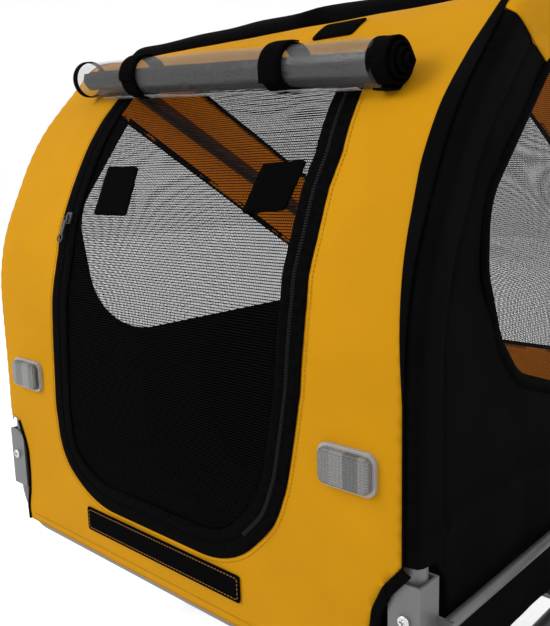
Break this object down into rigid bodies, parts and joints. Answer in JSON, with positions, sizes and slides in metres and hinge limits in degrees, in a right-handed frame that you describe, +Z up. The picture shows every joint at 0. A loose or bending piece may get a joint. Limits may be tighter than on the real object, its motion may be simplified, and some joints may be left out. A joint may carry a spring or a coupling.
{
  "type": "dog bike trailer",
  "caption": "Wedge-shaped fabric cabin with mesh windows and a zip-up mesh door on a folding steel frame, towed behind a bicycle on wheels by a swinging drawbar with a swivel hitch.",
  "frame": {"origin": "on the ground, under the middle of the trailer's overall box", "axes": "X across with the drawbar on +X, Y from the tall front with the door towards the low rear, Z up"},
  "size_m": [0.8226, 1.542, 0.9029],
  "materials": {
    "yellow_fabric": "woven coated",
    "black_fabric": "woven coated",
    "black_mesh": "fine net",
    "clear_vinyl": "clear film",
    "black_webbing": "hook and loop tape",
    "grey_steel": "powder coat",
    "zinc_steel": "zinc plated",
    "axle_steel": "turned",
    "clear_lens": "prismatic",
    "red_lens": "prismatic",
    "black_plastic": "moulded",
    "alloy": "satin",
    "tyre_rubber": "tread"
  },
  "bodies": {
    "chassis": {"axle_beam": "grey_steel", "axle_bushes": "black_plastic", "axle_clamps": "grey_steel", "base_front_hoop": "grey_steel", "base_rear_hoop": "grey_steel", "base_side_tubes": "grey_steel", "door_header": "black_mesh", "door_zip": "black_webbing", "drawbar_bracket": "grey_steel", "floor_panel": "black_fabric", "front_panel": "yellow_fabric", "front_reflector_bases": "black_plastic", "front_reflector_lenses": "clear_lens", "guard_rails": "grey_steel", "hinge_brackets": "grey_steel", "hook_strips": "black_webbing", "pivot_screws": "zinc_steel", "rain_cover_roll": "clear_vinyl", "rear_mesh": "black_mesh", "rear_panel": "yellow_fabric", "rear_reflector_bases": "black_plastic", "rear_reflector_lenses": "red_lens", "roll_straps": "black_webbing", "roof_band": "black_fabric", "roof_cover": "yellow_fabric", "roof_mesh": "black_mesh", "side_skirts": "black_fabric", "spreader_bar": "grey_steel", "stub_axles": "axle_steel", "zip_slider": "zinc_steel"},
    "left_arch": {"side_arch_left": "grey_steel", "side_panel_left": "black_fabric", "side_window_left": "black_mesh", "side_band_left": "yellow_fabric", "spreader_clip_left": "black_plastic"},
    "right_arch": {"side_arch_right": "grey_steel", "side_panel_right": "black_fabric", "side_window_right": "black_mesh", "side_band_right": "yellow_fabric", "spreader_clip_right": "black_plastic"},
    "left_wheel": {"tyre_left": "tyre_rubber", "rim_left": "alloy", "spokes_left": "axle_steel", "hub_left": "alloy"},
    "right_wheel": {"tyre_right": "tyre_rubber", "rim_right": "alloy", "spokes_right": "axle_steel", "hub_right": "alloy"},
    "left_button": {"release_button_left": "black_plastic"},
    "right_button": {"release_button_right": "black_plastic"},
    "drawbar": {"drawbar_tube": "grey_steel", "hitch_coupler": "black_plastic", "hitch_pin": "zinc_steel"},
    "drawbar_knob": {"drawbar_knob": "black_plastic"},
    "hitch_arm": {"hitch_arm": "alloy"},
    "front_door": {"front_door": "black_mesh", "door_binding": "black_webbing", "door_patches": "black_fabric"},
    "zip_pull": {"zip_pull": "zinc_steel"}
  },
  "joints": [
    {"name": "left_wheel_spin", "type": "hinge", "parent": "chassis", "child": "left_wheel", "pos_m": [-0.372, 0.385, 0.25], "axis": [1, 0, 0], "continuous": true},
    {"name": "right_wheel_spin", "type": "hinge", "parent": "chassis", "child": "right_wheel", "pos_m": [0.372, 0.385, 0.25], "axis": [1, 0, 0], "continuous": true},
    {"name": "left_release_press", "type": "slide", "parent": "chassis", "child": "left_button", "axis": [1, 0, 0], "range_m": [0, 0.004], "stiffness_N_per_m": 400, "springref_m": -0.002},
    {"name": "right_release_press", "type": "slide", "parent": "chassis", "child": "right_button", "axis": [-1, 0, 0], "range_m": [0, 0.004], "stiffness_N_per_m": 400, "springref_m": -0.002},
    {"name": "left_arch_fold", "type": "hinge", "parent": "chassis", "child": "left_arch", "pos_m": [-0.297, 0.358, 0.39], "axis": [0, 1, 0], "range_deg": [0, 90]},
    {"name": "right_arch_fold", "type": "hinge", "parent": "chassis", "child": "right_arch", "pos_m": [0.297, 0.358, 0.39], "axis": [0, -1, 0], "range_deg": [0, 84]},
    {"name": "drawbar_swing", "type": "hinge", "parent": "chassis", "child": "drawbar", "pos_m": [0.316, 0.255, 0.273], "axis": [0, 0, -1], "range_deg": [0, 48]},
    {"name": "drawbar_knob_turn", "type": "hinge", "parent": "chassis", "child": "drawbar_knob", "pos_m": [0.316, 0.255, 0.273], "axis": [0, 0, 1], "range_deg": [0, 360]},
    {"name": "hitch_swivel", "type": "hinge", "parent": "drawbar", "child": "hitch_arm", "pos_m": [0.175, -0.674, 0.365], "axis": [0, 0, 1], "range_deg": [-50, 50]},
    {"name": "front_door_open", "type": "hinge", "parent": "chassis", "child": "front_door", "pos_m": [0, 0.03097, 0.795], "axis": [-1, 0, 0], "range_deg": [0, 95]},
    {"name": "zip_pull_swing", "type": "hinge", "parent": "chassis", "child": "zip_pull", "pos_m": [-0.18276, -0.03119, 0.69923], "axis": [-1, 0, 0], "range_deg": [0, 80]}
  ]
}
